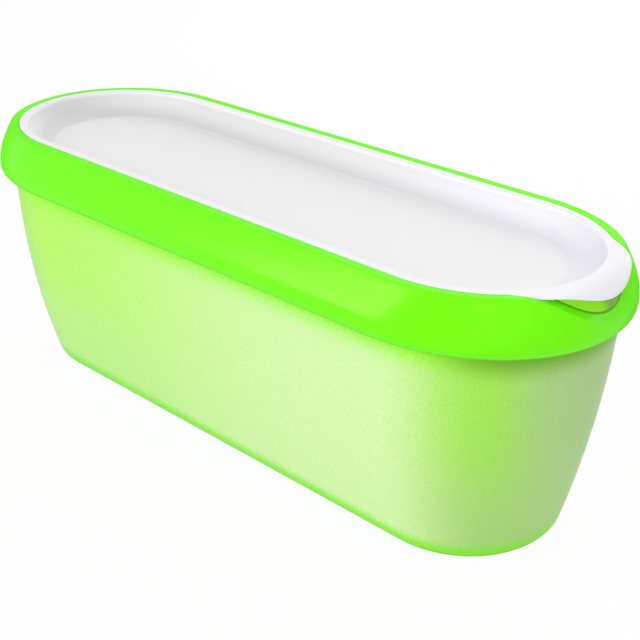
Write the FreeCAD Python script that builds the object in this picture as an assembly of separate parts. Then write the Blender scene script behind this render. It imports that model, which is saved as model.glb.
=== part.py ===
import FreeCAD, Part
import math
import os

# Long freezer tub with a snap-in lid, in millimetres.
# The origin is the middle of the base, +X runs along the tub towards the lid's pull tab, +Z is up.

# ---- driving dimensions ----

# Overall sizes, taken over the rim band's widest line.
overall_length = 343.0
overall_width = 124.7
overall_height = 122.6

# Every outline is a long oval: straight sides with half-ellipse ends.
# An end ratio is the reach of an end divided by half the oval's width.
rim_end_ratio = 1.11
base_end_ratio = 1.0

# Tub body.
base_length = 299.4
base_width = 82.2
end_bow = 2.4
side_bow = 5.2
bottom_round = 6.0
foot_height = 3.0
body_levels = 7

# Rim band: a collar that flares from the lip to its widest line and turns under to a hem.
band_height = 22.5
band_widest_depth = 17.8
end_flare = 9.7
side_flare = 13.2
lip_flare = 4.3
end_hem = 4.8
side_hem = 6.2
end_shoulder_step = 0.6
side_shoulder_step = 1.6
lip_round = 1.0
lip_levels = 4
flare_levels = 6
hem_levels = 5

# Lid: a flange that lies flush in the band, round a sunken dish.
flange_width = 3.6
plate_thickness = 1.2
plate_edge_round = 0.5
plug_wall = 2.0
dish_depth = 9.5
dish_floor = 2.5
dish_end_run = 20.0
dish_side_run = 14.0
dish_fullness = 2.6
dish_levels = 9
dish_edge_round = 0.5

# Pull tab on the lid's +X end: a round tongue that rolls down over the band.
tab_reach = 7.4
tab_radius = 36.7
tab_root_round = 10.0
tab_roll_inset = 1.8
tab_roll_radius = 12.7

# Finger notch in the band below the tab: a leaning back wall over a sloping shelf.
notch_radius = 28.7
notch_setback = 1.8
notch_depth = 11.5
notch_end_rise = 1.0
notch_spread_deg = 80.0
notch_wall_lean = 0.35
notch_shelf_slope = 0.75
notch_levels = 13

# Fits.
lid_clearance = 0.3
neck_clearance = 0.3

# Length by which a cutter runs past the surface that it leaves.
overrun = 5.0

# ---- sizes that follow ----

rim_top = overall_height
shoulder_z = rim_top - band_height
lid_half_length = overall_length / 2 - end_flare
lid_half_width = overall_width / 2 - side_flare
plug_inset = flange_width - plug_wall
plug_depth = dish_depth + dish_floor
tab_tip_x = lid_half_length + tab_reach


# ---- outlines and solids ----

def quarter_arc(start, corner, end):
    """Exact quarter ellipse inside the corner of its two end tangents."""
    curve = Part.BezierCurve()
    curve.setPoles([start, corner, end])
    curve.setWeight(2, math.sqrt(0.5))
    return curve.toShape()


def oval_wire(half_length, half_width, end_ratio, z):
    """Closed oval outline at height z, counter-clockwise from the +X end."""
    straight = half_length - half_width * end_ratio

    def at(x, y):
        return FreeCAD.Vector(x, y, z)

    edges = [
        quarter_arc(at(half_length, 0), at(half_length, half_width), at(straight, half_width)),
        Part.makeLine(at(straight, half_width), at(-straight, half_width)),
        quarter_arc(at(-straight, half_width), at(-half_length, half_width), at(-half_length, 0)),
        quarter_arc(at(-half_length, 0), at(-half_length, -half_width), at(-straight, -half_width)),
        Part.makeLine(at(-straight, -half_width), at(straight, -half_width)),
        quarter_arc(at(straight, -half_width), at(half_length, -half_width), at(half_length, 0)),
    ]
    return Part.Wire(edges)


def lid_oval(offset, z, side_offset=None):
    """Oval at an offset from the lid's outline, with its own offset on the long sides if given."""
    if side_offset is None:
        side_offset = offset
    return oval_wire(lid_half_length + offset, lid_half_width + side_offset, rim_end_ratio, z)


def prism(wire, height):
    """Solid that stands on a flat outline."""
    return Part.Face(wire).extrude(FreeCAD.Vector(0, 0, height))


def is_upright(edge):
    """Whether an edge is a vertical line."""
    box = edge.BoundBox
    return box.XLength + box.YLength < 0.001


def edges_at(solid, z):
    """Edges that lie in the horizontal plane at height z."""
    def is_flat(edge):
        box = edge.BoundBox
        return abs(box.ZMin - z) < 0.001 and abs(box.ZMax - z) < 0.001
    return [edge for edge in solid.Edges if is_flat(edge)]


# ---- tub body and foot ----

def body_oval(z):
    """Outline of the tub below the band: it narrows to the base with a slight bow."""
    share = (shoulder_z - z) / shoulder_z
    bow_share = 4 * share * (1 - share)
    top_half_length = lid_half_length + end_hem - end_shoulder_step
    top_half_width = lid_half_width + side_hem - side_shoulder_step
    half_length = top_half_length + (base_length / 2 - top_half_length) * share + end_bow * bow_share
    half_width = top_half_width + (base_width / 2 - top_half_width) * share + side_bow * bow_share
    end_ratio = rim_end_ratio + (base_end_ratio - rim_end_ratio) * share
    return oval_wire(half_length, half_width, end_ratio, z)


def make_vessel():
    """Whole tub below the band, with its rounded bottom edge."""
    levels = [shoulder_z * i / (body_levels - 1) for i in range(body_levels)]
    vessel = Part.makeLoft([body_oval(z) for z in levels], True, False)
    return vessel.makeFillet(bottom_round, edges_at(vessel, 0))


def make_foot_slab():
    """Block that parts the foot from the body."""
    slab = Part.makeBox(overall_length, overall_width, foot_height + overrun)
    slab.translate(FreeCAD.Vector(-overall_length / 2, -overall_width / 2, -overrun))
    return slab


def make_base_foot():
    return make_vessel().common(make_foot_slab())


def make_tub_body():
    """Body above the foot, with the neck that fills the band up to the lid's underside."""
    body = make_vessel().cut(make_foot_slab())
    neck_top = rim_top - plug_depth
    neck_offset = lid_clearance - plug_inset - neck_clearance
    neck = prism(lid_oval(neck_offset, shoulder_z - foot_height), neck_top - shoulder_z + foot_height)
    return body.fuse(neck).removeSplitter()


# ---- rim band ----

def band_offset(depth, flare, hem):
    """How far the band stands out from the lid's outline at a depth: rounded lip, flare, then hem."""
    lip_slope = math.pi / 2 * (flare - lip_flare) / band_widest_depth
    lip_turn = math.pi / 2 - math.atan(lip_slope)
    if depth < lip_round * (1 - math.cos(lip_turn)):
        lip_start = lip_flare - lip_round * math.tan(lip_turn / 2)
        return lip_start + lip_round * math.sin(math.acos(1 - depth / lip_round))
    if depth < band_widest_depth:
        return lip_flare + (flare - lip_flare) * math.sin(math.pi / 2 * depth / band_widest_depth)
    sink = min((depth - band_widest_depth) / (band_height - band_widest_depth), 1)
    return flare + (hem - flare) * (1 - math.sqrt(1 - sink ** 2))


def band_depths():
    """Depths of the band's sections, closer together where it turns."""
    lip = [lip_round * (1 - math.cos(math.pi / 2 * i / lip_levels)) for i in range(lip_levels)]
    flare_start = 2 * lip_round
    flare_step = (band_widest_depth - flare_start) / (flare_levels - 1)
    flare = [flare_start + flare_step * i for i in range(flare_levels)]
    hem_drop = band_height - band_widest_depth
    hem = [band_widest_depth + hem_drop * math.sin(math.pi / 2 * i / (hem_levels - 1))
           for i in range(1, hem_levels)]
    return lip + flare + hem


def make_band_blank():
    """Outer form of the band as a full block."""
    wires = []
    for depth in band_depths():
        ends = band_offset(depth, end_flare, end_hem)
        sides = band_offset(depth, side_flare, side_hem)
        wires.append(lid_oval(ends, rim_top - depth, sides))
    return Part.makeLoft(wires, True, False)


def notch_section(turn):
    """Upright section of the notch cutter, on a ray from the centre of the back wall's arc.

    The turn is in degrees from the +X axis. Towards the ends of the spread the crease rises
    past the rim and the shelf levels out.
    """
    share = (1 + math.cos(math.pi * turn / notch_spread_deg)) / 2
    depth = (notch_depth + notch_end_rise) * share - notch_end_rise
    centre_x = tab_tip_x - notch_setback - notch_radius
    shelf_run = end_flare + side_flare
    points = [
        (notch_radius - notch_wall_lean * (depth + overrun), rim_top + overrun),
        (notch_radius, rim_top - depth),
        (notch_radius + shelf_run, rim_top - depth - notch_shelf_slope * share ** 2 * shelf_run),
        (notch_radius + shelf_run, rim_top + overrun),
    ]
    cosine = math.cos(math.radians(turn))
    sine = math.sin(math.radians(turn))
    corners = [FreeCAD.Vector(centre_x + r * cosine, r * sine, z) for r, z in points]
    return Part.makePolygon(corners + corners[:1])


def make_notch_cutter():
    """Horseshoe that cuts the finger notch out of the band."""
    turns = [notch_spread_deg * (2 * i / (notch_levels - 1) - 1) for i in range(notch_levels)]
    return Part.makeLoft([notch_section(turn) for turn in turns], True, False)


def make_rim_band():
    """Band with the lid's seat, the neck's bore, the tab's bed and the finger notch cut in."""
    band = make_band_blank()
    bore = prism(lid_oval(lid_clearance - plug_inset, shoulder_z - overrun), band_height + 2 * overrun)
    band = band.cut(bore)
    band = band.cut(make_plate(lid_clearance, overrun))
    return band.cut(make_notch_cutter())


# ---- lid ----

def make_plate_plan(grow, bottom_z, height):
    """Upright block over the outline of the lid and its tab, grown outwards by a clearance."""
    centre_x = tab_tip_x - tab_radius
    circle = Part.Wire(Part.makeCircle(tab_radius + grow, FreeCAD.Vector(centre_x, 0, bottom_z)))
    plan = prism(lid_oval(grow, bottom_z), height).fuse(prism(circle, height)).removeSplitter()

    def is_tab_root(edge):
        box = edge.BoundBox
        return is_upright(edge) and box.XMin > centre_x and abs(box.YMin) > 0.001

    roots = [edge for edge in plan.Edges if is_tab_root(edge)]
    return plan.makeFillet(tab_root_round - grow, roots)


def plate_profile(under_gap, headroom):
    """Side profile of the plate: flat along the lid, then rolled down through a quarter turn.

    The profile lies in the plane of the tub's near side. With headroom its top is a flat line
    above the rim, for a cutter.
    """
    bend_x = lid_half_length - tab_roll_inset
    bend_z = rim_top - tab_roll_radius
    inner_radius = tab_roll_radius - plate_thickness - under_gap
    back_x = -lid_half_length - overrun
    diagonal = math.sqrt(0.5)

    def at(x, z):
        return FreeCAD.Vector(x, -overall_width / 2, z)

    def roll(radius):
        middle = at(bend_x + radius * diagonal, bend_z + radius * diagonal)
        return Part.Arc(at(bend_x, bend_z + radius), middle, at(bend_x + radius, bend_z)).toShape()

    inner_end = at(bend_x + inner_radius, bend_z)
    outer_end = at(bend_x + tab_roll_radius, bend_z)
    back_under = at(back_x, bend_z + inner_radius)
    back_over = at(back_x, rim_top + headroom)
    edges = [Part.makeLine(back_under, at(bend_x, bend_z + inner_radius)), roll(inner_radius)]
    if headroom > 0:
        front_over = at(bend_x + tab_roll_radius, rim_top + headroom)
        edges += [Part.makeLine(inner_end, outer_end), Part.makeLine(outer_end, front_over)]
        edges += [Part.makeLine(front_over, back_over)]
    else:
        edges += [Part.makeLine(inner_end, outer_end), roll(tab_roll_radius)]
        edges += [Part.makeLine(at(bend_x, rim_top), back_over)]
    edges += [Part.makeLine(back_over, back_under)]
    return Part.Wire(edges)


def make_plate(clearance=0.0, headroom=0.0):
    """Flange and pull tab in one sheet, or with a clearance and headroom the recess for it."""
    bottom_z = rim_top - tab_roll_radius
    plan = make_plate_plan(clearance, bottom_z, tab_roll_radius + headroom)
    sheet = Part.Face(plate_profile(clearance, headroom)).extrude(FreeCAD.Vector(0, overall_width, 0))
    return plan.common(sheet)


def make_dish_cutter():
    """Sunken dish: a steep wall that rounds into a flat floor."""
    power = 2 / dish_fullness
    wires = [lid_oval(-flange_width, rim_top + overrun)]
    for i in range(dish_levels):
        angle = math.pi / 2 * i / (dish_levels - 1)
        depth = dish_depth * math.sin(angle) ** power
        run = 1 - max(math.cos(angle), 0) ** power
        ends = -flange_width - dish_end_run * run
        sides = -flange_width - dish_side_run * run
        wires.append(lid_oval(ends, rim_top - depth, sides))
    return Part.makeLoft(wires, True, False)


def make_lid():
    """Flange, pull tab and plug in one piece, with the dish sunk into it."""
    plate = make_plate()
    rim_edges = [edge for edge in plate.Edges if not is_upright(edge)]
    plate = plate.makeFillet(plate_edge_round, rim_edges)
    plug = prism(lid_oval(-plug_inset, rim_top - plug_depth), plug_depth - plate_thickness / 2)
    lid = plate.fuse(plug).cut(make_dish_cutter())

    def is_dish_edge(edge):
        box = edge.BoundBox
        return box.XMax < lid_half_length - plug_inset and box.YMax < lid_half_width - plug_inset

    dish_edges = [edge for edge in edges_at(lid, rim_top) if is_dish_edge(edge)]
    return lid.makeFillet(dish_edge_round, dish_edges)


# ---- export ----

def main():
    os.makedirs("parts", exist_ok=True)
    shapes = {
        "tub_body": make_tub_body(),
        "rim_band": make_rim_band(),
        "lid": make_lid(),
        "base_foot": make_base_foot(),
    }
    for node, shape in shapes.items():
        shape.exportStep("parts/" + node + ".step")
        box = shape.BoundBox
        print(node, len(shape.Solids), shape.isValid(), round(shape.Volume),
              [round(v, 2) for v in (box.XMin, box.XMax, box.YMin, box.YMax, box.ZMin, box.ZMax)])


main()
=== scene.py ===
"""Looks of the ice cream storage tub: frosted body, lime rim band, white lid, lime foot and a studio."""
import math

import bmesh
import bpy
from bpy.props import FloatProperty, FloatVectorProperty, PointerProperty
from bpy.types import Operator, Panel, PropertyGroup
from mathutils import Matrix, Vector


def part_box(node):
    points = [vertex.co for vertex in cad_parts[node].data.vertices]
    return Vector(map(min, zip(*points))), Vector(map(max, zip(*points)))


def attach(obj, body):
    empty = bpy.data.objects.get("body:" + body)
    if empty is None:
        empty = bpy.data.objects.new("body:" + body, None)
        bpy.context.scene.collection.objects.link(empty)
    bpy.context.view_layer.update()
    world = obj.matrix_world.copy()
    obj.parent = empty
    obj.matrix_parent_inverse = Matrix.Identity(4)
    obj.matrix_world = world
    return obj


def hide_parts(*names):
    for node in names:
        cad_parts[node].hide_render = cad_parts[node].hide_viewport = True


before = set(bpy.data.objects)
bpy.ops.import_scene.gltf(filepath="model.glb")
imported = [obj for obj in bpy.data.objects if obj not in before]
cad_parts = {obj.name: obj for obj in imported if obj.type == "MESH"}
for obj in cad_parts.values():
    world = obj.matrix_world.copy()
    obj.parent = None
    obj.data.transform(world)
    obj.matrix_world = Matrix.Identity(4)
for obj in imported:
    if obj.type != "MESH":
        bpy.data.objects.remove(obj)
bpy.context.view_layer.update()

bl_info = {
    "name": "Ice Cream Tub",
    "version": (1, 0, 0),
    "blender": (4, 5, 0),
    "location": "View3D > Sidebar > Tub",
    "description": "Builds the pieces, finishes and studio of a long freezer tub with a dished lid",
    "category": "Object",
}

MM = 0.001
BODY = "root"

FAN_STEPS = 150  # rays in the half turn round an end
ROUND_STEPS = 3  # pieces of the curve that rounds a corner
SEARCH_STEPS = 60
SETTLE_STEPS = 40
TINY = 1e-9
MERGE_DISTANCE = 0.002 * MM
SLIVER = 0.001 * MM
SHARP_ANGLE = math.radians(35)

band_low, band_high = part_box("rim_band")
RIM_TOP = band_high.z
HALF_LENGTH = min(band_high.x, -band_low.x)
HALF_WIDTH = min(band_high.y, -band_low.y)


# ---- sizes and colours ----

def length(name, description, millimetres):
    """A length setting, in metres."""
    return FloatProperty(name=name, description=description, default=millimetres * MM, unit="LENGTH",
                         precision=4)


def ratio(name, description, value):
    """A plain number setting."""
    return FloatProperty(name=name, description=description, default=value)


def colour(name, description, value):
    """A colour setting, in linear light."""
    return FloatVectorProperty(name=name, description=description, default=value, size=3,
                               subtype="COLOR", min=0.0, max=1.0)


class TubBandSizes(PropertyGroup):
    height: length("Height", "From the rim down to the hem", 22.5)
    widest_depth: length("Widest depth", "Depth of the widest line below the rim", 17.8)
    end_flare: length("End flare", "Reach of the widest line past the lid at the ends", 9.7)
    side_flare: length("Side flare", "Reach of the widest line past the lid on the long sides", 13.2)
    lip_flare: length("Lip flare", "Reach of the lip past the lid", 4.3)
    end_hem: length("End hem", "Reach of the hem past the lid at the ends", 4.8)
    side_hem: length("Side hem", "Reach of the hem past the lid on the long sides", 6.2)
    lip_round: length("Lip round", "Radius of the lip's outer edge", 1.0)
    fine_round: length("Fine round", "Radius of the small edges", 0.35)
    end_ratio: ratio("End ratio", "Reach of a rounded end over half the width", 1.11)
    bore_inset: length("Bore inset", "How far the bore lies inside the lid's outline", 1.3)


class TubNotchSizes(PropertyGroup):
    radius: length("Radius", "Radius of the back wall's foot", 28.7)
    setback: length("Setback", "From the tab's tip back to the wall's foot", 1.8)
    depth: length("Depth", "Depth of the crease in the middle", 11.5)
    end_rise: length("End rise", "How far the crease's ends would rise past the rim", 1.0)
    spread: FloatProperty(name="Spread", description="Half of the notch's arc", subtype="ANGLE",
                          default=math.radians(80))
    wall_lean: ratio("Wall lean", "Inward lean of the back wall for each unit of height", 0.35)
    shelf_slope: ratio("Shelf slope", "Fall of the shelf for each unit of reach", 0.75)
    crease_round: length("Crease round", "Radius in the crease", 0.5)


class TubBodySizes(PropertyGroup):
    base_length: length("Base length", "Length of the base outline", 299.4)
    base_width: length("Base width", "Width of the base outline", 82.2)
    base_ratio: ratio("Base end ratio", "Reach of a rounded end over half the width, at the base", 1.0)
    end_step: length("End step", "How far the body steps in from the hem at the ends", 0.6)
    side_step: length("Side step", "How far the body steps in from the hem on the long sides", 1.6)
    end_bow: length("End bow", "Outward bow of the ends at mid height", 2.4)
    side_bow: length("Side bow", "Outward bow of the long sides at mid height", 5.2)
    bottom_round: length("Bottom round", "Radius of the bottom edge", 6.0)
    foot_height: length("Foot height", "Height of the coloured foot", 3.0)


class TubLidSizes(PropertyGroup):
    flange_width: length("Flange width", "Width of the flat round the dish", 3.6)
    thickness: length("Thickness", "Thickness of the flange and the tab", 1.2)
    edge_round: length("Edge round", "Radius of the lid's edges", 0.5)
    plug_wall: length("Plug wall", "Thickness of the wall round the dish", 2.0)
    dish_depth: length("Dish depth", "Depth of the dish", 9.5)
    dish_floor: length("Dish floor", "Thickness under the dish", 2.5)
    end_run: length("End run", "Reach of the dish's wall at the ends", 20.0)
    side_run: length("Side run", "Reach of the dish's wall on the long sides", 14.0)
    fullness: ratio("Fullness", "Power of the wall's curve: 2 is an ellipse, more is squarer", 2.6)
    tab_reach: length("Tab reach", "How far the tab stands past the lid", 7.4)
    tab_radius: length("Tab radius", "Radius of the tab's edge", 36.7)
    tab_root_round: length("Tab root round", "Radius where the tab leaves the lid", 10.0)
    roll_inset: length("Roll inset", "Where the tab starts to roll down, inside the lid's end", 1.8)
    roll_radius: length("Roll radius", "Radius of the tab's roll", 12.7)
    clearance: length("Clearance", "Gap between the lid and the band", 0.3)


class TubFinish(PropertyGroup):
    band: colour("Band", "Lime of the rim band", (0.17, 1.0, 0.0))
    # Painted shade: the hem's downturned lower edge is painted a deeper lime.
    band_hem_painted_shade: colour("Band hem", "Deeper lime along the band's lower edge", (0.1, 0.74, 0.0))
    # Painted light and shade on the notch's back wall: lit lime on one side, olive in the tab's shadow on
    # the other.
    notch_painted_light: colour("Notch lime", "Yellowish lime of the finger notch's back wall", (0.34, 0.9, 0.01))
    notch: colour("Notch", "Olive of the far part of that wall", (0.2, 0.5, 0.015))
    # Painted shade in the notch's crease.
    notch_crease_painted_shade: colour("Notch crease", "Dark green in the notch's crease", (0.08, 0.42, 0.0))
    foot: colour("Foot", "Lime of the foot", (0.26, 0.8, 0.001))
    frost_mid: colour("Frost middle", "Pale green of the frosted wall", (0.49, 0.96, 0.125))
    frost_low: colour("Frost low", "Whitish green low on the wall", (0.55, 0.93, 0.26))
    # Painted light: the green glow that the lime band throws onto the wall just under it.
    under_band_painted_glow: colour("Frost deep", "Green that bleeds in from the band", (0.38, 0.99, 0.02))
    # Painted sheen: a whitish green standing for a softbox's broad reflection on the wall towards the
    # tab.
    frost_painted_sheen: colour("Frost pale", "Whitish green of the wall towards the tab", (0.7, 0.947, 0.425))
    # Painted light and shade: the lime foot's green glow and the shade low on the wall.
    over_foot_painted_light: colour("Frost foot", "Green that bleeds in from the foot", (0.26, 0.88, 0.015))
    # Painted shade under the band at the rounded ends.
    frost_shade: colour("Frost shade", "Green under the band at the rounded ends", (0.17, 0.46, 0.004))
    # Painted shade and painted grey reflection at the outermost ends, where the wall turns edge-on.
    tip_painted_shade: colour("Frost tip", "Grey green of the outermost ends", (0.43, 0.65, 0.25))
    # Painted shade: the rounded ends are painted darker and greener than the long sides.
    end_painted_shade: colour("Frost end", "Green of the rounded ends", (0.37, 0.83, 0.075))
    end_low_painted_shade: colour("Frost end low", "Green low on the rounded ends", (0.42, 0.72, 0.19))
    lid: colour("Lid", "White of the lid's flange and tab", (0.94, 0.93, 0.965))
    # Painted shade: the dish is painted greyer than the flange, greyest on its wall, lighter and
    # lavender-tinted towards the tab, and lighter again on its floor.
    dish: colour("Dish", "White of the dish's wall", (0.79, 0.79, 0.79))
    dish_end_painted_shade: colour("Dish end", "White of the dish's wall towards the tab", (0.86, 0.85, 0.9))
    dish_floor: colour("Dish floor", "White of the dish's floor", (0.91, 0.908, 0.915))
    speckle_size: length("Speckle size", "Grain of the frosting", 0.55)


class TubStage(PropertyGroup):
    azimuth: FloatProperty(name="Azimuth", description="Camera's turn from the near side",
                           subtype="ANGLE", default=math.radians(43.3))
    elevation: FloatProperty(name="Elevation", description="Camera's angle above the horizon",
                             subtype="ANGLE", default=math.radians(26.98))
    distance: length("Distance", "From the aim point to the camera", 537.4)
    aim_along: length("Aim along", "Aim point along the tub", 25.2)
    aim_height: length("Aim height", "Aim point above the floor", 57.6)
    lens: ratio("Lens", "Focal length in millimetres", 67.07)
    key_power: ratio("Key power", "Strength of the key softbox in watts", 5.5)
    front_power: ratio("Front power", "Strength of the front fill in watts", 2.85)
    back_power: ratio("Back power", "Strength of the back light in watts", 8.4)
    near_power: ratio("Near light power", "Strength of the high light over the tab in watts", 1.2)
    ambient: ratio("Ambient", "Strength of the surroundings", 0.355)


# ---- outlines ----

def ray_to_oval(origin_x, direction, half_length, half_width, end_ratio):
    """Distance from a point on the long axis to an oval with straight sides and elliptical ends."""
    dx, dy = direction
    straight = half_length - half_width * end_ratio
    if abs(dy) > TINY:
        reach = half_width / abs(dy)
        if abs(origin_x + reach * dx) <= straight:
            return reach
    end = 1 if (dx if abs(dx) > TINY else origin_x) > 0 else -1
    start = (origin_x - end * straight) / (half_width * end_ratio)
    along = dx / (half_width * end_ratio)
    across = dy / half_width
    a = along ** 2 + across ** 2
    b = start * along
    c = start ** 2 - 1
    return (-b + math.sqrt(max(b * b - a * c, 0.0))) / a


def ray_to_circle(origin_x, direction, centre, radius, far=True):
    """Distance from a point on the long axis to a circle, at its far or its near side."""
    dx, dy = direction
    to_centre = (centre[0] - origin_x, centre[1])
    along = to_centre[0] * dx + to_centre[1] * dy
    off = to_centre[0] * dy - to_centre[1] * dx
    inside = radius ** 2 - off ** 2
    if inside < 0:
        return None
    return along + math.sqrt(inside) * (1 if far else -1)


def stations(end_centre, side_step):
    """Rays that go round the tub: fans at both ends, and square to the long sides between them."""
    rays = []
    side_count = max(int(round(2 * end_centre / side_step)), 1)
    for end in (1, -1):
        for i in range(FAN_STEPS + 1):
            angle = math.pi * i / FAN_STEPS - math.pi / 2
            rays.append((end * end_centre, (end * math.cos(angle), end * math.sin(angle))))
        for i in range(1, side_count):
            rays.append((end * end_centre * (1 - 2 * i / side_count), (0.0, float(end))))
    return rays


class LidPlan:
    """Outline of the lid with its tab, grown outwards by a clearance."""

    def __init__(self, band, lid, grow):
        self.half_length = HALF_LENGTH - band.end_flare + grow
        self.half_width = HALF_WIDTH - band.side_flare + grow
        self.end_ratio = band.end_ratio
        self.tab_radius = lid.tab_radius + grow
        self.tab_x = HALF_LENGTH - band.end_flare + lid.tab_reach - lid.tab_radius
        self.root_round = lid.tab_root_round - grow
        self.root_centre, self.root_angles = self.find_root()

    def find_root(self):
        """Centre of the fillet at the tab's root, and the two points that it touches."""
        straight = self.half_length - self.half_width * self.end_ratio

        def touch(turn):
            reach = self.half_width * self.end_ratio
            x = straight + reach * math.cos(turn)
            y = self.half_width * math.sin(turn)
            slope = math.hypot(math.cos(turn) / reach, math.sin(turn) / self.half_width)
            normal = (math.cos(turn) / reach / slope, math.sin(turn) / self.half_width / slope)
            centre = (x + self.root_round * normal[0], y + self.root_round * normal[1])
            apart = math.hypot(centre[0] - self.tab_x, centre[1]) - self.tab_radius - self.root_round
            return apart, centre, (x, y)

        low, high = math.radians(15), math.radians(75)
        for _ in range(SEARCH_STEPS):
            middle = (low + high) / 2
            if touch(middle)[0] < 0:
                low = middle
            else:
                high = middle
        _, centre, on_lid = touch(low)
        share = self.tab_radius / (self.tab_radius + self.root_round)
        on_tab = (self.tab_x + (centre[0] - self.tab_x) * share, centre[1] * share)
        return centre, (on_tab, on_lid)

    def reach(self, ray):
        """Distance along a ray to the outline."""
        origin_x, direction = ray
        plain = ray_to_oval(origin_x, direction, self.half_length, self.half_width, self.end_ratio)
        if direction[0] <= 0:
            return plain
        side = -1 if direction[1] < 0 else 1
        turn = math.atan2(abs(direction[1]), direction[0])
        first, last = [math.atan2(y, x - origin_x) for x, y in self.root_angles]
        if first < turn < last:
            centre = (self.root_centre[0], side * self.root_centre[1])
            return ray_to_circle(origin_x, direction, centre, self.root_round, far=False)
        if turn >= last:
            return plain
        return ray_to_circle(origin_x, direction, (self.tab_x, 0.0), self.tab_radius)


def sheet_height(x, band, lid, below):
    """Height of the rolled flange and tab at a place along the tub, a distance below its top face."""
    bend_x = HALF_LENGTH - band.end_flare - lid.roll_inset
    if x <= bend_x:
        return RIM_TOP - below
    radius = lid.roll_radius - below
    return RIM_TOP - lid.roll_radius + math.sqrt(max(radius ** 2 - (x - bend_x) ** 2, 0.0))


# ---- profiles ----

def rounded(corners):
    """Points of a profile whose corners (reach, height, radius) are rounded by short curves."""
    points = []
    for i, (reach, height, radius) in enumerate(corners):
        here = Vector((reach, height))
        if radius == 0 or i == 0 or i == len(corners) - 1:
            points.append(here)
            continue
        back = Vector(corners[i - 1][:2]) - here
        ahead = Vector(corners[i + 1][:2]) - here
        if back.length < TINY or ahead.length < TINY:
            points += [here.copy() for _ in range(ROUND_STEPS + 1)]
            continue
        turn = math.pi - back.angle(ahead)
        setback = min(radius * math.tan(turn / 2), 0.45 * back.length, 0.45 * ahead.length)
        start = here + back.normalized() * setback
        end = here + ahead.normalized() * setback
        for k in range(ROUND_STEPS + 1):
            t = k / ROUND_STEPS
            points.append(start * (1 - t) ** 2 + here * 2 * t * (1 - t) + end * t ** 2)
    return points


def place(ray, point):
    """A profile point on its ray, in space."""
    origin_x, (dx, dy) = ray
    return (origin_x + point[0] * dx, point[0] * dy, point[1])


def skin(name, columns, closed):
    """Mesh over columns of points that go round the tub. A closed profile joins its ends."""
    rows = len(columns[0])
    bm = bmesh.new()
    grid = [[bm.verts.new(point) for point in column] for column in columns]
    for i, column in enumerate(grid):
        following = grid[(i + 1) % len(grid)]
        for k in range(rows if closed else rows - 1):
            j = (k + 1) % rows
            bm.faces.new((column[k], column[j], following[j], following[k]))
    bmesh.ops.remove_doubles(bm, verts=bm.verts, dist=MERGE_DISTANCE)
    bmesh.ops.dissolve_degenerate(bm, edges=bm.edges, dist=SLIVER)
    if bm.calc_volume(signed=True) < 0:
        bmesh.ops.reverse_faces(bm, faces=bm.faces)
    mesh = bpy.data.meshes.new(name)
    bm.to_mesh(mesh)
    bm.free()
    return mesh


def add_piece(name, mesh, material, node):
    """Shades a finished mesh and puts it in the place of its CAD node."""
    mesh.polygons.foreach_set("use_smooth", [True] * len(mesh.polygons))
    mesh.set_sharp_from_angle(angle=SHARP_ANGLE)
    mesh.materials.clear()
    mesh.materials.append(material)
    piece = bpy.data.objects.new(name, mesh)
    bpy.context.scene.collection.objects.link(piece)
    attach(piece, BODY)
    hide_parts(node)
    return piece


# ---- rim band ----

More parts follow.
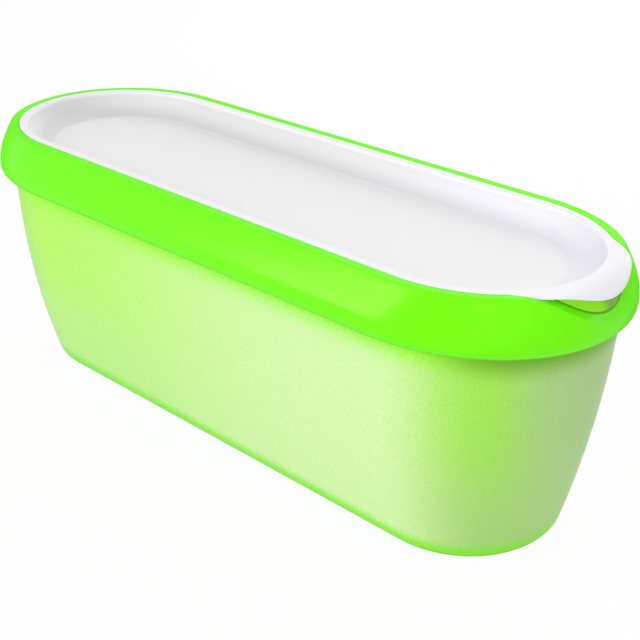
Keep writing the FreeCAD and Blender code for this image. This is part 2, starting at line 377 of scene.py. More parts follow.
class BandShape:
    """Works out the band's profile on any ray."""

    FLANK_ROWS = 14
    HEM_ROWS = 8
    SIDE_STEP = 4 * MM

    def __init__(self, band, notch, lid):
        self.band, self.notch, self.lid = band, notch, lid
        self.seat_plan = LidPlan(band, lid, lid.clearance)
        self.centre_x = HALF_LENGTH - band.end_flare + lid.tab_reach - notch.setback - notch.radius

    def offset(self, depth, flare, hem):
        """How far the outer face stands out from the lid's outline, with a sharp lip."""
        band = self.band
        if depth <= band.widest_depth:
            share = math.sin(math.pi / 2 * depth / band.widest_depth)
            return band.lip_flare + (flare - band.lip_flare) * share
        sink = min((depth - band.widest_depth) / (band.height - band.widest_depth), 1.0)
        return flare + (hem - flare) * (1 - math.sqrt(1 - sink ** 2))

    def outer(self, ray, depth):
        """Reach of the outer face on a ray at a depth."""
        band = self.band
        half_length = HALF_LENGTH - band.end_flare + self.offset(depth, band.end_flare, band.end_hem)
        half_width = HALF_WIDTH - band.side_flare + self.offset(depth, band.side_flare, band.side_hem)
        return ray_to_oval(*ray, half_length, half_width, band.end_ratio)

    def seat_depth(self, ray, reach):
        """Depth of the lid's seat below the rim."""
        x = ray[0] + reach * ray[1][0]
        return RIM_TOP - sheet_height(x, self.band, self.lid, self.lid.thickness + self.lid.clearance)

    def notch_cut(self, ray):
        """Depth of the crease and slope of the shelf on a ray, or None where there is no notch."""
        notch = self.notch
        turn = math.atan2(ray[1][1], ray[1][0])
        if ray[0] < self.centre_x - 1e-6 or abs(turn) >= notch.spread:
            return None
        share = (1 + math.cos(math.pi * turn / notch.spread)) / 2
        crease = (notch.depth + notch.end_rise) * share - notch.end_rise
        slope = notch.shelf_slope * share ** 2
        if crease + slope * (self.outer(ray, 0) - notch.radius) <= 0:
            return None
        return crease, slope

    def shelf_edge(self, ray, crease, slope):
        """Depth at which the shelf leaves the band."""
        low, high = 0.0, self.band.widest_depth
        for _ in range(SEARCH_STEPS):
            depth = (low + high) / 2
            if crease + slope * (self.outer(ray, depth) - self.notch.radius) > depth:
                low = depth
            else:
                high = depth
        return low

    def top_corners(self, ray):
        """Corners from the seat to the lip, and the depth at which the outer face starts."""
        band, notch = self.band, self.notch
        wall = self.seat_plan.reach(ray)
        seat = self.seat_depth(ray, wall)
        cut = self.notch_cut(ray)
        if cut is None:
            lip = (self.outer(ray, 0), 0.0, band.lip_round)
            return [(wall, seat, 0.0), (wall, 0.0, band.fine_round), lip], 0.0
        crease, slope = cut
        edge = self.shelf_edge(ray, crease, slope)
        lip = (self.outer(ray, edge), edge, band.lip_round)
        if crease > self.seat_depth(ray, notch.radius):
            reach = notch.radius
            for _ in range(SETTLE_STEPS):
                reach = notch.radius - notch.wall_lean * (crease - self.seat_depth(ray, reach))
            foot = (notch.radius, crease, notch.crease_round)
            return [(reach, self.seat_depth(ray, reach), 0.0), foot, lip], edge
        top = min(crease + slope * (wall - notch.radius), seat)
        return [(wall, seat, 0.0), (wall, top, band.fine_round), lip], edge

    def column(self, ray):
        """Closed profile on a ray, as points in space."""
        band = self.band
        half_length = HALF_LENGTH - band.end_flare - band.bore_inset
        half_width = HALF_WIDTH - band.side_flare - band.bore_inset
        bore = ray_to_oval(*ray, half_length, half_width, band.end_ratio)
        corners = [(bore, band.height, 0.0), (bore, self.seat_depth(ray, bore), 0.0)]
        top, start = self.top_corners(ray)
        corners += top
        for i in range(1, self.FLANK_ROWS + 1):
            depth = start + (band.widest_depth - start) * i / self.FLANK_ROWS
            corners.append((self.outer(ray, depth), depth, 0.0))
        for i in range(1, self.HEM_ROWS + 1):
            angle = math.pi / 2 * i / self.HEM_ROWS
            depth = band.widest_depth + (band.height - band.widest_depth) * math.sin(angle)
            last = i == self.HEM_ROWS
            corners.append((self.outer(ray, depth), depth, band.fine_round if last else 0.0))
        corners.append(corners[0])
        points = rounded([(reach, RIM_TOP - depth, radius) for reach, depth, radius in corners])
        return [place(ray, point) for point in points[:-1]]


class TUB_OT_band(Operator):
    """Build the glossy rim band with its finger notch"""
    bl_idname = "tub.band"
    bl_label = "Rim Band"

    def execute(self, context):
        scene = context.scene
        shape = BandShape(scene.tub_band, scene.tub_notch, scene.tub_lid)
        columns = [shape.column(ray) for ray in stations(shape.centre_x, shape.SIDE_STEP)]
        mesh = skin("rim_band_gloss", columns, closed=True)
        hem = RIM_TOP - scene.tub_band.height
        material = band_material(scene.tub_finish, hem, shape.centre_x, scene.tub_notch.radius)
        add_piece("rim_band_gloss", mesh, material, "rim_band")
        return {"FINISHED"}


# ---- lid ----

class LidShape:
    """Works out the lid's profile on any ray."""

    FLANGE_ROWS = 10
    DISH_ROWS = 30
    FAN_CENTRE = 95 * MM
    SIDE_STEP = 6 * MM

    def __init__(self, band, lid):
        self.band, self.lid = band, lid
        self.plan = LidPlan(band, lid, 0.0)

    def oval(self, ray, end_offset, side_offset):
        """Reach of an oval at its own offsets from the lid's outline."""
        band = self.band
        half_length = HALF_LENGTH - band.end_flare + end_offset
        half_width = HALF_WIDTH - band.side_flare + side_offset
        return ray_to_oval(*ray, half_length, half_width, band.end_ratio)

    def column(self, ray):
        """Profile on a ray from the middle of the underside, round the edge, to the dish's middle."""
        band, lid = self.band, self.lid

        def height(reach, below):
            return sheet_height(ray[0] + reach * ray[1][0], band, lid, below)

        plug = self.oval(ray, *[lid.plug_wall - lid.flange_width] * 2)
        brim = self.plan.reach(ray)
        inner = self.oval(ray, -lid.flange_width, -lid.flange_width)
        bottom = RIM_TOP - lid.dish_depth - lid.dish_floor
        corners = [(0.0, bottom, 0.0), (plug, bottom, 0.0), (plug, height(plug, lid.thickness), 0.0)]
        for i in range(1, self.FLANGE_ROWS):
            reach = plug + (brim - plug) * i / self.FLANGE_ROWS
            corners.append((reach, height(reach, lid.thickness), 0.0))
        corners.append((brim, height(brim, lid.thickness), lid.edge_round))
        corners.append((brim, height(brim, 0.0), lid.edge_round))
        for i in range(1, self.FLANGE_ROWS):
            reach = brim + (inner - brim) * i / self.FLANGE_ROWS
            corners.append((reach, height(reach, 0.0), 0.0))
        corners.append((inner, RIM_TOP, lid.edge_round))
        power = 2 / lid.fullness
        for i in range(1, self.DISH_ROWS + 1):
            angle = math.pi / 2 * i / self.DISH_ROWS
            run = 1 - max(math.cos(angle), 0.0) ** power
            depth = lid.dish_depth * math.sin(angle) ** power
            offsets = [-lid.flange_width - way * run for way in (lid.end_run, lid.side_run)]
            corners.append((self.oval(ray, *offsets), RIM_TOP - depth, 0.0))
        corners.append((0.0, RIM_TOP - lid.dish_depth, 0.0))
        return [place(ray, point) for point in rounded(corners)]


class TUB_OT_lid(Operator):
    """Build the white lid with its dish and rolled pull tab"""
    bl_idname = "tub.lid"
    bl_label = "Lid"

    def execute(self, context):
        scene = context.scene
        shape = LidShape(scene.tub_band, scene.tub_lid)
        columns = [shape.column(ray) for ray in stations(shape.FAN_CENTRE, shape.SIDE_STEP)]
        mesh = skin("lid_satin", columns, closed=False)
        tab_start = HALF_LENGTH - scene.tub_band.end_flare - scene.tub_lid.roll_inset
        material = lid_material(scene.tub_finish, RIM_TOP, tab_start)
        add_piece("lid_satin", mesh, material, "lid")
        return {"FINISHED"}


# ---- body and foot, by Geometry Nodes ----

def math_step(tree, operation, *values, clamp=False):
    """Result of one Math node on numbers and sockets."""
    node = tree.nodes.new("ShaderNodeMath")
    node.operation = operation
    node.use_clamp = clamp
    for socket, value in zip(node.inputs, values):
        if isinstance(value, bpy.types.NodeSocket):
            tree.links.new(value, socket)
        else:
            socket.default_value = value
    return node.outputs[0]


class Field:
    """A number that varies over a mesh, written as plain arithmetic and built as Math nodes."""

    def __init__(self, tree, socket):
        self.tree, self.socket = tree, socket

    def combine(self, operation, *others, clamp=False):
        """New field from one Math node."""
        values = [value.socket if isinstance(value, Field) else value for value in (self, *others)]
        return Field(self.tree, math_step(self.tree, operation, *values, clamp=clamp))

    def constant(self, value):
        """The same number everywhere, as a field."""
        node = self.tree.nodes.new("ShaderNodeValue")
        node.outputs[0].default_value = value
        return Field(self.tree, node.outputs[0])

    def __add__(self, other):
        return self.combine("ADD", other)

    def __sub__(self, other):
        return self.combine("SUBTRACT", other)

    def __mul__(self, other):
        return self.combine("MULTIPLY", other)

    def __truediv__(self, other):
        return self.combine("DIVIDE", other)

    def __rsub__(self, other):
        return self.constant(other).combine("SUBTRACT", self)

    def clamped(self):
        return self.combine("ADD", 0.0, clamp=True)

    def at_least(self, other):
        return self.combine("MAXIMUM", other)

    def root(self):
        return self.combine("SQRT")

    def sine(self):
        return self.combine("SINE")

    def cosine(self):
        return self.combine("COSINE")

    def towards(self, other, share):
        """Blend to another field by a share."""
        return self + (other - self) * share


VESSEL_INPUTS = (
    "Low", "High", "Shoulder Height", "Top Half Length", "Top Half Width", "Top End Ratio",
    "Base Half Length", "Base Half Width", "Base End Ratio", "End Bow", "Side Bow", "Bottom Round",
)
VESSEL_END_COLUMNS = 96
VESSEL_SIDE_COLUMNS = 24
VESSEL_LEVELS = 60
VESSEL_LEVEL_POWER = 1.6
VESSEL_MERGE = 0.01 * MM


def vessel_half_size(z, share, bow_share, top, base, bow, height, bottom_round):
    """Half a size of the vessel at a height: tapered, bowed, and drawn in round the bottom edge."""
    wall = top.towards(base, share) + bow * bow_share
    lean = (top - base + bow * 4.0) / height
    slant = (lean * lean + 1.0).root()
    rise = (bottom_round - z).at_least(0.0)
    arc = (bottom_round * bottom_round - rise * rise).at_least(0.0).root()
    inset = bottom_round * slant - lean * rise - arc
    is_round = (bottom_round * lean / slant).combine("LESS_THAN", rise)
    return wall - inset * is_round


def vessel_tree():
    """Node tree that wraps a grid into a closed oval vessel between two heights."""
    tree = bpy.data.node_groups.new("Oval vessel", "GeometryNodeTree")
    tree.interface.new_socket("Geometry", in_out="INPUT", socket_type="NodeSocketGeometry")
    for name in VESSEL_INPUTS:
        tree.interface.new_socket(name, in_out="INPUT", socket_type="NodeSocketFloat")
    tree.interface.new_socket("Material", in_out="INPUT", socket_type="NodeSocketMaterial")
    tree.interface.new_socket("Geometry", in_out="OUTPUT", socket_type="NodeSocketGeometry")
    nodes, links = tree.nodes, tree.links
    start = nodes.new("NodeGroupInput")
    size = {name: Field(tree, start.outputs[name]) for name in VESSEL_INPUTS}

    columns = 2 * (VESSEL_END_COLUMNS + VESSEL_SIDE_COLUMNS)
    grid = nodes.new("GeometryNodeMeshGrid")
    grid.inputs["Size X"].default_value = 1.0
    grid.inputs["Size Y"].default_value = 1.0
    grid.inputs["Vertices X"].default_value = columns + 1
    grid.inputs["Vertices Y"].default_value = VESSEL_LEVELS + 2
    position = nodes.new("GeometryNodeInputPosition")
    split = nodes.new("ShaderNodeSeparateXYZ")
    links.new(position.outputs[0], split.inputs[0])
    along = (Field(tree, split.outputs[0]) + 0.5) * columns
    level = (Field(tree, split.outputs[1]) + 0.5) * (VESSEL_LEVELS + 1)

    quarter = VESSEL_END_COLUMNS / 2
    side = VESSEL_SIDE_COLUMNS
    first_end = (along / quarter).clamped()
    first_side = ((along - quarter) / side).clamped()
    far_end = ((along - quarter - side) / (2 * quarter)).clamped()
    second_side = ((along - 3 * quarter - side) / side).clamped()
    last_end = ((along - 3 * quarter - 2 * side) / quarter).clamped()
    turn = (first_end + far_end * 2.0 + last_end) * (math.pi / 2)

    climb = ((level - 1.0) / (VESSEL_LEVELS - 1)).clamped()
    z = size["Low"].towards(size["High"], climb.combine("POWER", VESSEL_LEVEL_POWER))
    height = size["Shoulder Height"]
    share = (height - z) / height
    bow_share = share * (1 - share) * 4.0
    half = [vessel_half_size(z, share, bow_share, size[f"Top Half {way}"], size[f"Base Half {way}"],
                             size[f"{bow} Bow"], height, size["Bottom Round"])
            for way, bow in (("Length", "End"), ("Width", "Side"))]
    end_ratio = size["Top End Ratio"].towards(size["Base End Ratio"], share)
    straight = half[0] - half[1] * end_ratio

    is_wall = level.combine("GREATER_THAN", 0.5) * level.combine("LESS_THAN", VESSEL_LEVELS + 0.5)
    x = straight * (1 - first_side * 2.0 + second_side * 2.0)
    x = x + half[1] * end_ratio * turn.cosine() * is_wall
    y = half[1] * turn.sine() * is_wall

    join = nodes.new("ShaderNodeCombineXYZ")
    for socket, field in zip(join.inputs, (x, y, z)):
        links.new(field.socket, socket)
    wrap = nodes.new("GeometryNodeSetPosition")
    merge = nodes.new("GeometryNodeMergeByDistance")
    merge.inputs["Distance"].default_value = VESSEL_MERGE
    realize = nodes.new("GeometryNodeRealizeInstances")
    paint = nodes.new("GeometryNodeSetMaterial")
    end = nodes.new("NodeGroupOutput")
    links.new(grid.outputs["Mesh"], wrap.inputs["Geometry"])
    links.new(join.outputs[0], wrap.inputs["Position"])
    links.new(wrap.outputs[0], merge.inputs["Geometry"])
    links.new(merge.outputs[0], realize.inputs["Geometry"])
    links.new(realize.outputs[0], paint.inputs["Geometry"])
    links.new(start.outputs["Material"], paint.inputs["Material"])
    links.new(paint.outputs[0], end.inputs[0])
    return tree


def vessel_mesh(name, values, material):
    """Plain mesh made by the vessel tree with these input values."""
    tree = bpy.data.node_groups.get("Oval vessel") or vessel_tree()
    holder = bpy.data.objects.new(name + "_maker", bpy.data.meshes.new(name + "_maker"))
    bpy.context.scene.collection.objects.link(holder)
    modifier = holder.modifiers.new("Vessel", "NODES")
    modifier.node_group = tree
    items = [item for item in tree.interface.items_tree if item.in_out == "INPUT"]
    identifiers = {item.name: item.identifier for item in items}
    for key, value in values.items():
        modifier[identifiers[key]] = value
    modifier[identifiers["Material"]] = material
    depsgraph = bpy.context.evaluated_depsgraph_get()
    mesh = bpy.data.meshes.new_from_object(holder.evaluated_get(depsgraph))
    holder.modifiers.remove(modifier)
    bpy.data.objects.remove(holder)
    mesh.name = name
    bm = bmesh.new()
    bm.from_mesh(mesh)
    if bm.calc_volume(signed=True) < 0:
        bmesh.ops.reverse_faces(bm, faces=bm.faces)
    bm.to_mesh(mesh)
    bm.free()
    return mesh


def vessel_values(band, body, low, high):
    """Inputs of the vessel tree for the stretch between two heights."""
    return {
        "Low": low,
        "High": high,
        "Shoulder Height": RIM_TOP - band.height,
        "Top Half Length": HALF_LENGTH - band.end_flare + band.end_hem - body.end_step,
        "Top Half Width": HALF_WIDTH - band.side_flare + band.side_hem - body.side_step,
        "Top End Ratio": band.end_ratio,
        "Base Half Length": body.base_length / 2,
        "Base Half Width": body.base_width / 2,
        "Base End Ratio": body.base_ratio,
        "End Bow": body.end_bow,
        "Side Bow": body.side_bow,
        "Bottom Round": body.bottom_round,
    }


class TUB_OT_body(Operator):
    """Build the frosted body below the band"""
    bl_idname = "tub.body"
    bl_label = "Body"

    def execute(self, context):
        scene = context.scene
        band, body = scene.tub_band, scene.tub_body
        values = vessel_values(band, body, body.foot_height, RIM_TOP - band.height)
        material = body_material(scene.tub_finish, RIM_TOP - band.height)
        mesh = vessel_mesh("tub_body_frosted", values, material)
        add_piece("tub_body_frosted", mesh, material, "tub_body")
        return {"FINISHED"}


class TUB_OT_foot(Operator):
    """Build the lime foot under the body"""
    bl_idname = "tub.foot"
    bl_label = "Foot"

    def execute(self, context):
        scene = context.scene
        values = vessel_values(scene.tub_band, scene.tub_body, 0.0, scene.tub_body.foot_height)
        material = foot_material(scene.tub_finish)
        mesh = vessel_mesh("base_foot_lime", values, material)
        add_piece("base_foot_lime", mesh, material, "base_foot")
        return {"FINISHED"}


# ---- finishes ----

def new_material(name):
    """Empty material with a Principled shader, its tree and the shader."""
    material = bpy.data.materials.new(name)
    material.use_nodes = True
    tree = material.node_tree
    return material, tree, tree.nodes["Principled BSDF"]


def place_group(tree, group, **values):
    """Node of a shader group with its inputs set."""
    node = tree.nodes.new("ShaderNodeGroup")
    node.node_tree = group
    for name, value in values.items():
        node.inputs[name.replace("_", " ").title()].default_value = value
    return node


WAVES_PER_METRE = 22.0


def moulded_group():
    """Faint unevenness of moulded plastic, as a bumped normal and a slow mask."""
    group = bpy.data.node_groups.get("Moulded plastic")
    if group:
        return group
    group = bpy.data.node_groups.new("Moulded plastic", "ShaderNodeTree")
    sizes = {"Grain Size": 0.5 * MM, "Grain Depth": 0.004 * MM, "Wave Depth": 0.02 * MM}
    for name, default in sizes.items():
        socket = group.interface.new_socket(name, in_out="INPUT", socket_type="NodeSocketFloat")
        socket.default_value = default
    group.interface.new_socket("Mask", in_out="OUTPUT", socket_type="NodeSocketFloat")
    group.interface.new_socket("Grain", in_out="OUTPUT", socket_type="NodeSocketFloat")
    group.interface.new_socket("Normal", in_out="OUTPUT", socket_type="NodeSocketVector")
    nodes, links = group.nodes, group.links
    start, end = nodes.new("NodeGroupInput"), nodes.new("NodeGroupOutput")
    coordinates = nodes.new("ShaderNodeTexCoord")
    grain = nodes.new("ShaderNodeTexNoise")
    links.new(math_step(group, "DIVIDE", 1.0, start.outputs["Grain Size"]), grain.inputs["Scale"])
    grain.inputs["Detail"].default_value = 1.0
    wave = nodes.new("ShaderNodeTexNoise")
    wave.inputs["Scale"].default_value = WAVES_PER_METRE
    wave.inputs["Detail"].default_value = 1.0
    bumps = []
    for texture, depth in ((grain, "Grain Depth"), (wave, "Wave Depth")):
        links.new(coordinates.outputs["Object"], texture.inputs["Vector"])
        bump = nodes.new("ShaderNodeBump")
        links.new(start.outputs[depth], bump.inputs["Distance"])
        links.new(texture.outputs["Fac"], bump.inputs["Height"])
        bumps.append(bump)
    links.new(bumps[1].outputs[0], bumps[0].inputs["Normal"])
    links.new(wave.outputs["Fac"], end.inputs["Mask"])
    links.new(grain.outputs["Fac"], end.inputs["Grain"])
    links.new(bumps[0].outputs[0], end.inputs["Normal"])
    return group


def mask_mix(tree, mask, low, high):
    """Colour mix of two values or sockets by a mask socket."""
    node = tree.nodes.new("ShaderNodeMix")
    node.data_type = "RGBA"
    tree.links.new(mask, node.inputs["Factor"])
    for socket, value in ((node.inputs[6], low), (node.inputs[7], high)):
        if isinstance(value, bpy.types.NodeSocket):
            tree.links.new(value, socket)
        else:
            socket.default_value = (*value, 1.0)
    return node.outputs[2]


def uneven(tree, group, tone, darkest):
    """Colour that the plastic's slow mask darkens in places."""
    return mask_mix(tree, group.outputs["Mask"], tuple(c * darkest for c in tone), tone)


def remap(tree, value, low, high, start=0.0, end=1.0, smooth=False):
    """Value stretched from one range to another and clamped."""
    ramp = tree.nodes.new("ShaderNodeMapRange")
    ramp.interpolation_type = "SMOOTHERSTEP" if smooth else "LINEAR"
    for name, bound in (("From Min", low), ("From Max", high), ("To Min", start), ("To Max", end)):
        ramp.inputs[name].default_value = bound
    tree.links.new(value, ramp.inputs["Value"])
    return ramp.outputs[0]


def share_along(tree, axis, low, high, fold=False):
    """Share of the way between two places along an axis, smoothed; folded, both sides of 0 are alike."""
    split = tree.nodes.new("ShaderNodeSeparateXYZ")
    tree.links.new(tree.nodes.new("ShaderNodeTexCoord").outputs["Object"], split.inputs[0])
    spot = split.outputs[axis]
    if fold:
        spot = math_step(tree, "ABSOLUTE", spot)
    return remap(tree, spot, low, high, smooth=True)


def distance_from_upright(tree, x):
    """Distance from an upright line through the tub's long axis."""
    spot = tree.nodes.new("ShaderNodeTexCoord").outputs["Object"]
    for operation, vector in (("SUBTRACT", (x, 0.0, 0.0)), ("MULTIPLY", (1.0, 1.0, 0.0))):
        step = tree.nodes.new("ShaderNodeVectorMath")
        step.operation = operation
        step.inputs[1].default_value = vector
        tree.links.new(spot, step.inputs[0])
        spot = step.outputs[0]
    size = tree.nodes.new("ShaderNodeVectorMath")
    size.operation = "LENGTH"
    tree.links.new(spot, size.inputs[0])
    return size.outputs["Value"]


# A zone is where one colour gives way to the next. The hem's is measured up from the hem.
HEM_SHADE_AND_DULL_ZONE = (2.2 * MM, 0.4 * MM)
NOTCH_SHADOW_ZONE = (-6 * MM, 3 * MM)
NOTCH_BLEND = 0.2 * MM
CREASE_SHADE_HALF_WIDTH = 0.22 * MM
BAND_EDGE_ON = (0.48, 0.9)
BAND_ROUGHNESS = (0.22, 1.0)


def band_material(finish, hem, notch_centre, notch_radius):
    """Glossy lime plastic, duller along the hem, with painted shade along the hem and painted light and
    shade on the notch's back wall and crease.
    """
    material, tree, shader = new_material("lime_gloss")
    group = place_group(tree, moulded_group(), grain_size=1.2 * MM, grain_depth=0.0,
                        wave_depth=0.25 * MM)
    # Painted shade along the hem, where the band rounds under; the same zone also makes the hem duller.
    low = share_along(tree, "Z", *[hem + rise for rise in HEM_SHADE_AND_DULL_ZONE])
    lime = mask_mix(tree, low, uneven(tree, group, finish.band, 0.93), finish.band_hem_painted_shade)
    edge_on = remap(tree, tree.nodes.new("ShaderNodeLayerWeight").outputs["Facing"], *BAND_EDGE_ON)
    dull = math_step(tree, "MAXIMUM", low, edge_on)
    tree.links.new(remap(tree, dull, 0.0, 1.0, *BAND_ROUGHNESS), shader.inputs["Roughness"])
    reach = distance_from_upright(tree, notch_centre)
    # Painted light and shade on the notch's back wall: lit lime giving way to olive in the tab's shadow.
    wall = mask_mix(tree, share_along(tree, "Y", *NOTCH_SHADOW_ZONE), finish.notch_painted_light, finish.notch)
    in_notch = remap(tree, reach, notch_radius + NOTCH_BLEND, notch_radius - NOTCH_BLEND)
    lime = mask_mix(tree, in_notch, lime, wall)
    # A thin line of painted shade along the notch's crease.
    crease = math_step(tree, "COMPARE", reach, notch_radius, CREASE_SHADE_HALF_WIDTH)
    lime = mask_mix(tree, crease, lime, finish.notch_crease_painted_shade)
    tree.links.new(lime, shader.inputs["Base Color"])
    tree.links.new(group.outputs["Normal"], shader.inputs["Normal"])
    shader.inputs["Specular IOR Level"].default_value = 0.45
    shader.inputs["Specular Tint"].default_value = (1.0, 1.0, 0.33, 1.0)
    return material


# The dish floor's and the flange's are measured from the rim, and the tab's from where its roll starts.
DISH_END_SHADE_ZONE = (-40 * MM, 135 * MM)
DISH_FLOOR_PAINT_ZONE = (-9.25 * MM, -9.5 * MM)
FLANGE_ZONE = (-2.6 * MM, -0.4 * MM)
TAB_ZONE = (-3 * MM, 0.0)


def lid_material(finish, top, tab_start):
    """Satin white plastic, with painted shade in the dish: greyest on the dish's wall, lighter on its
    floor and towards the tab.
    """
    material, tree, shader = new_material("white_satin")
    group = place_group(tree, moulded_group(), grain_size=0.6 * MM, grain_depth=0.02 * MM,
                        wave_depth=0.15 * MM)
    flange = uneven(tree, group, finish.lid, 0.985)
    # Painted shade in the dish: grey on the wall, lighter towards the tab.
    white = mask_mix(tree, share_along(tree, "X", *DISH_END_SHADE_ZONE), finish.dish, finish.dish_end_painted_shade)
    # The painted shade lifts on the dish's floor, which is painted lighter than its wall.
    floor = share_along(tree, "Z", *[top + rise for rise in DISH_FLOOR_PAINT_ZONE])
    white = mask_mix(tree, floor, white, finish.dish_floor)
    white = mask_mix(tree, share_along(tree, "Z", *[top + rise for rise in FLANGE_ZONE]), white, flange)
    white = mask_mix(tree, share_along(tree, "X", *[tab_start + x for x in TAB_ZONE]), white, flange)
    tree.links.new(white, shader.inputs["Base Color"])
    tree.links.new(group.outputs["Normal"], shader.inputs["Normal"])
    shader.inputs["Roughness"].default_value = 0.42
    shader.inputs["Specular IOR Level"].default_value = 0.15
    return material


SPECKLE_DARK = (0.78, 0.88, 0.7)
SPECKLE_LIGHT = (1.22, 1.12, 1.3)
# The rise is a share of the shoulder's height, and the zone under the band is measured from the shoulder.
FROST_RISE = (0.1, 0.8)
SHEEN_PAINT_ZONE = (-120 * MM, 95 * MM)
END_SHADE_ZONE = (100 * MM, 148 * MM)
TIP_SHADE_ZONE = (142 * MM, 167 * MM)
SHADE_ZONE = (115 * MM, 155 * MM)
UNDER_BAND_PAINT_ZONE = (-14 * MM, 1 * MM)
OVER_FOOT_PAINT_ZONE = (12 * MM, 3 * MM)


def body_material(finish, shoulder):
    """Frosted wall, pale low down, with painted light and shade: a painted sheen towards the tab, a
    painted green glow under the band and over the foot, and painted shade on the rounded ends and their
    tips.
    """
    material, tree, shader = new_material("frosted_green")
    group = place_group(tree, moulded_group(), grain_size=finish.speckle_size, grain_depth=0.05 * MM,
                        wave_depth=0.1 * MM)
    up = share_along(tree, "Z", *[share * shoulder for share in FROST_RISE])
    side = mask_mix(tree, up, finish.frost_low, finish.frost_mid)
    # Painted sheen, growing along the tub towards the tab.
    side = mask_mix(tree, share_along(tree, "X", *SHEEN_PAINT_ZONE), side, finish.frost_painted_sheen)
    # Painted shade on the rounded ends, at both ends alike.
    end = mask_mix(tree, up, finish.end_low_painted_shade, finish.end_painted_shade)
    wall = mask_mix(tree, share_along(tree, "X", *END_SHADE_ZONE, fold=True), side, end)
    # Painted shade and grey reflection at the tips of both ends.
    wall = mask_mix(tree, share_along(tree, "X", *TIP_SHADE_ZONE, fold=True), wall, finish.tip_painted_shade)
    # Painted green glow under the band, giving way to painted shade under the band at the rounded ends.
    shaded = share_along(tree, "X", *SHADE_ZONE, fold=True)
    deep = mask_mix(tree, shaded, finish.under_band_painted_glow, finish.frost_shade)
    wall = mask_mix(tree, share_along(tree, "Z", *[shoulder + z for z in UNDER_BAND_PAINT_ZONE]), wall, deep)
    # Painted green glow and shade low on the wall, over the foot.
    wall = mask_mix(tree, share_along(tree, "Z", *OVER_FOOT_PAINT_ZONE), wall, finish.over_foot_painted_light)
    speckle = tree.nodes.new("ShaderNodeMix")
    speckle.data_type = "RGBA"
    speckle.blend_type = "MULTIPLY"
    speckle.inputs["Factor"].default_value = 1.0
    tree.links.new(wall, speckle.inputs[6])
    grains = mask_mix(tree, group.outputs["Grain"], SPECKLE_DARK, SPECKLE_LIGHT)
    tree.links.new(grains, speckle.inputs[7])
    tree.links.new(speckle.outputs[2], shader.inputs["Base Color"])
    tree.links.new(group.outputs["Normal"], shader.inputs["Normal"])
    shader.inputs["Roughness"].default_value = 0.55
    shader.inputs["Specular IOR Level"].default_value = 0.5
    shader.inputs["Sheen Weight"].default_value = 0.3
    shader.inputs["Sheen Roughness"].default_value = 0.3
    shader.inputs["Sheen Tint"].default_value = (0.9, 0.8, 1.0, 1.0)
    return material


def foot_material(finish):
    """Lime foot, slightly rubbery."""
    material, tree, shader = new_material("lime_foot")
    group = place_group(tree, moulded_group(), grain_size=0.8 * MM, grain_depth=0.02 * MM,
                        wave_depth=0.1 * MM)
    tree.links.new(uneven(tree, group, finish.foot, 0.9), shader.inputs["Base Color"])
    tree.links.new(group.outputs["Normal"], shader.inputs["Normal"])
    shader.inputs["Roughness"].default_value = 0.5
    shader.inputs["Specular IOR Level"].default_value = 0.02
    return material


# ---- studio ----

WHITE = (1.0, 1.0, 1.0, 1.0)
FLOOR_SIZE = 8.0
FLOOR_WHITE_SHARE = 0.94


def seen_white(tree, kind):
    """Mask of camera, glossy and transmission rays, and the plain white that they see."""
    path = tree.nodes.new("ShaderNodeLightPath").outputs
    seen = math_step(tree, "ADD", path["Is Camera Ray"], path["Is Glossy Ray"])
    seen = math_step(tree, "ADD", seen, path["Is Transmission Ray"], clamp=True)
    white = tree.nodes.new(kind)
    white.inputs["Color"].default_value = WHITE
    white.inputs["Strength"].default_value = 1.0
    return seen, white.outputs[0]


def mix_shaders(tree, share, first, second, surface):
    """Links a mix of two shaders to a surface socket."""
    mix = tree.nodes.new("ShaderNodeMixShader")
    for value, socket in zip((share, first, second), mix.inputs):
        tree.links.new(value, socket)
    tree.links.new(mix.outputs[0], surface)


def add_world(ambient):
    """Even pale surroundings, white where they are seen."""
    world = bpy.data.worlds.new("studio")
    bpy.context.scene.world = world
    world.use_nodes = True
    tree = world.node_tree
    soft = tree.nodes["Background"]
    soft.inputs["Color"].default_value = WHITE
    soft.inputs["Strength"].default_value = ambient
    seen, white = seen_white(tree, "ShaderNodeBackground")
    mix_shaders(tree, seen, soft.outputs[0], white, tree.nodes["World Output"].inputs["Surface"])


def add_floor():
    """Plain pale floor: mostly white where it is seen, so that only a soft shadow stays."""
    bpy.ops.mesh.primitive_plane_add(size=FLOOR_SIZE, location=(0, 0, 0))
    floor = bpy.context.active_object
    floor.name = "studio_floor"
    material, tree, shader = new_material("pale_floor")
    shader.inputs["Base Color"].default_value = (0.9, 0.9, 0.9, 1)
    shader.inputs["Roughness"].default_value = 1.0
    shader.inputs["Specular IOR Level"].default_value = 0.0
    seen, white = seen_white(tree, "ShaderNodeEmission")
    share = math_step(tree, "MULTIPLY", seen, FLOOR_WHITE_SHARE)
    mix_shaders(tree, share, shader.outputs[0], white, tree.nodes["Material Output"].inputs["Surface"])
    floor.data.materials.append(material)


def direction(azimuth, elevation):
    """Unit vector towards a place round the tub."""
    return Vector((math.sin(azimuth) * math.cos(elevation), -math.cos(azimuth) * math.cos(elevation),
                   math.sin(elevation)))


# Name, azimuth and elevation in degrees, distance, width and height of each softbox.
LAMPS = (
    ("key", -29.5, 24, 1.28, 0.5, 0.9),
    ("back", -160, 21, 1.2, 0.6, 0.6),
    ("front", 50, 18, 1.15, 0.6, 0.6),
    ("near", 60, 62, 0.6, 0.6, 0.6),
)


def face(holder, aim, toward, distance):
    """Puts a camera or lamp at a distance from the aim point, looking at it."""
    holder.location = aim + toward * distance
    holder.rotation_mode = "QUATERNION"
    holder.rotation_quaternion = (-toward).to_track_quat("-Z", "Y")
    bpy.context.scene.collection.objects.link(holder)


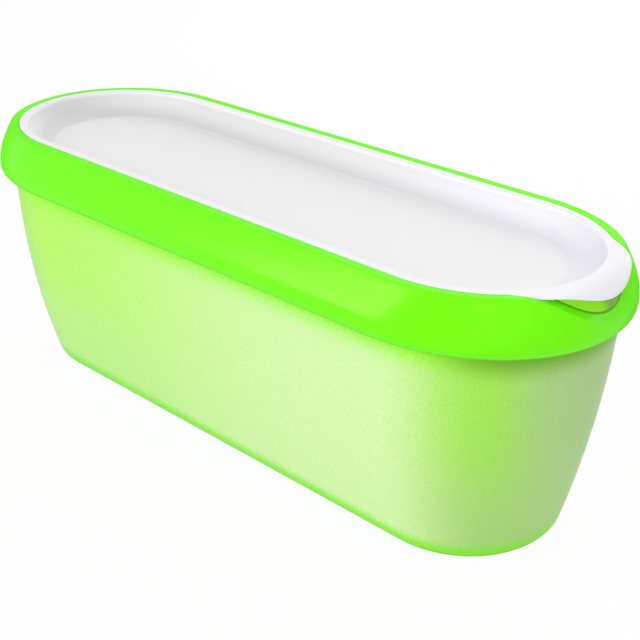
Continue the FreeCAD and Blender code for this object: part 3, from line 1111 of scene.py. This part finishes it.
def add_light(name, aim, toward, distance, width, height, power):
    """Softbox that faces the tub. Only the key light shows in gloss."""
    light = bpy.data.lights.new(name, "AREA")
    light.shape = "RECTANGLE"
    light.size = width
    light.size_y = height
    light.energy = power
    lamp = bpy.data.objects.new(name, light)
    lamp.visible_glossy = name == "key"
    face(lamp, aim, toward, distance)


class TUB_OT_stage(Operator):
    """Build the floor, lights and camera"""
    bl_idname = "tub.stage"
    bl_label = "Studio"

    def execute(self, context):
        stage = context.scene.tub_stage
        context.scene.view_settings.view_transform = "Standard"
        aim = Vector((stage.aim_along, 0.0, stage.aim_height))
        camera = bpy.data.objects.new("camera", bpy.data.cameras.new("camera"))
        camera.data.lens = stage.lens
        face(camera, aim, direction(stage.azimuth, stage.elevation), stage.distance)
        context.scene.camera = camera
        add_floor()
        add_world(stage.ambient)
        for name, azimuth, elevation, *reach_and_size in LAMPS:
            toward = direction(math.radians(azimuth), math.radians(elevation))
            add_light(name, aim, toward, *reach_and_size, getattr(stage, name + "_power"))
        return {"FINISHED"}


# ---- panel ----

class TUB_PT_panel(Panel):
    """Sizes, colours and steps of the tub"""
    bl_idname = "TUB_PT_panel"
    bl_label = "Ice Cream Tub"
    bl_space_type = "VIEW_3D"
    bl_region_type = "UI"
    bl_category = "Tub"

    def draw(self, context):
        layout = self.layout
        for step in STEPS:
            layout.operator(step.bl_idname)
        for attribute, group in GROUPS.items():
            settings = getattr(context.scene, attribute)
            box = layout.box()
            box.label(text=attribute.replace("_", " ").title())
            for name in group.__annotations__:
                box.prop(settings, name)


GROUPS = {
    "tub_band": TubBandSizes,
    "tub_notch": TubNotchSizes,
    "tub_body": TubBodySizes,
    "tub_lid": TubLidSizes,
    "tub_finish": TubFinish,
    "tub_stage": TubStage,
}
STEPS = (TUB_OT_body, TUB_OT_foot, TUB_OT_band, TUB_OT_lid, TUB_OT_stage)
CLASSES = (*GROUPS.values(), *STEPS, TUB_PT_panel)


def register():
    for cls in CLASSES:
        bpy.utils.register_class(cls)
    for attribute, group in GROUPS.items():
        setattr(bpy.types.Scene, attribute, PointerProperty(type=group))


def unregister():
    for attribute in GROUPS:
        delattr(bpy.types.Scene, attribute)
    for cls in reversed(CLASSES):
        bpy.utils.unregister_class(cls)


def main():
    register()
    bpy.ops.tub.body()
    bpy.ops.tub.foot()
    bpy.ops.tub.band()
    bpy.ops.tub.lid()
    bpy.ops.tub.stage()


if __name__ == "__main__":
    main()
